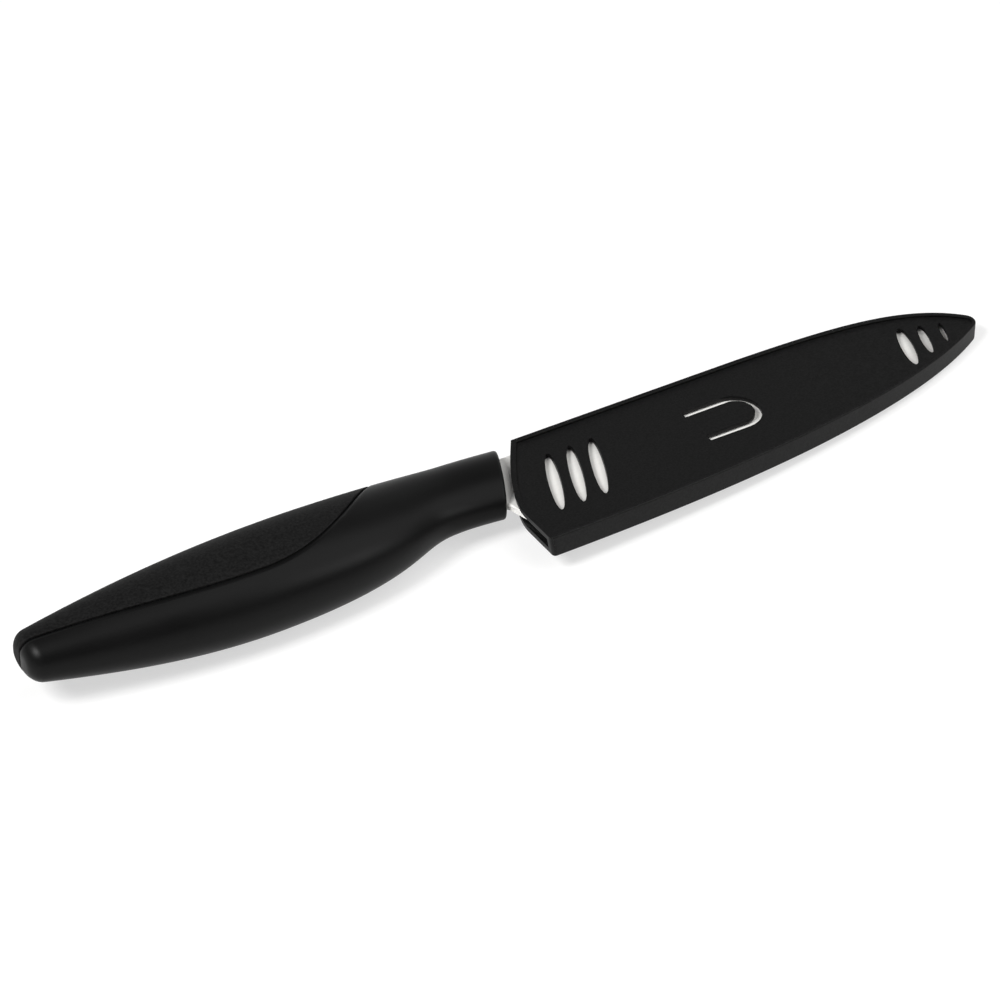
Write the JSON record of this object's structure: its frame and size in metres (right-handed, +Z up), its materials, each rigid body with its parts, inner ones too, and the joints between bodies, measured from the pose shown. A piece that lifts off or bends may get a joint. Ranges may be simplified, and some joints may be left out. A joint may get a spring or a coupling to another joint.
{
  "type": "ceramic chef knife",
  "caption": "Chef knife with a white ceramic blade, a black moulded handle with a soft grip insert, and a slotted slide-on blade guard held by a spring tongue.",
  "frame": {"origin": "middle of the knife's bounding box in plan, at the level of its lowest point as it lies on its side", "axes": "+X from the handle's butt to the guard's tip, +Y from the cutting edge to the spine, +Z up through the thickness, to the guard's slotted front face"},
  "size_m": [0.2474, 0.0372, 0.0196],
  "materials": {
    "zirconia": "polished white zirconia",
    "epoxy": "cured adhesive",
    "handle_plastic": "satin black moulding",
    "grip_rubber": "fine matte grain, black",
    "guard_plastic": "fine matte black moulding"
  },
  "bodies": {
    "knife": {"blade": "zirconia", "tang_bond": "epoxy", "handle_body": "handle_plastic", "grip_insert": "grip_rubber"},
    "guard": {"blade_guard": "guard_plastic"},
    "tongue": {"guard_tongue": "guard_plastic"}
  },
  "joints": [
    {"name": "guard_slide", "type": "slide", "parent": "knife", "child": "guard", "axis": [1, 0, 0], "range_m": [0, 0.135]},
    {"name": "tongue_flex", "type": "hinge", "parent": "guard", "child": "tongue", "pos_m": [0.0434, 0.00082, 0.0121], "axis": [0, -1, 0], "range_deg": [0, 4], "stiffness_Nm_per_rad": 0.25}
  ]
}
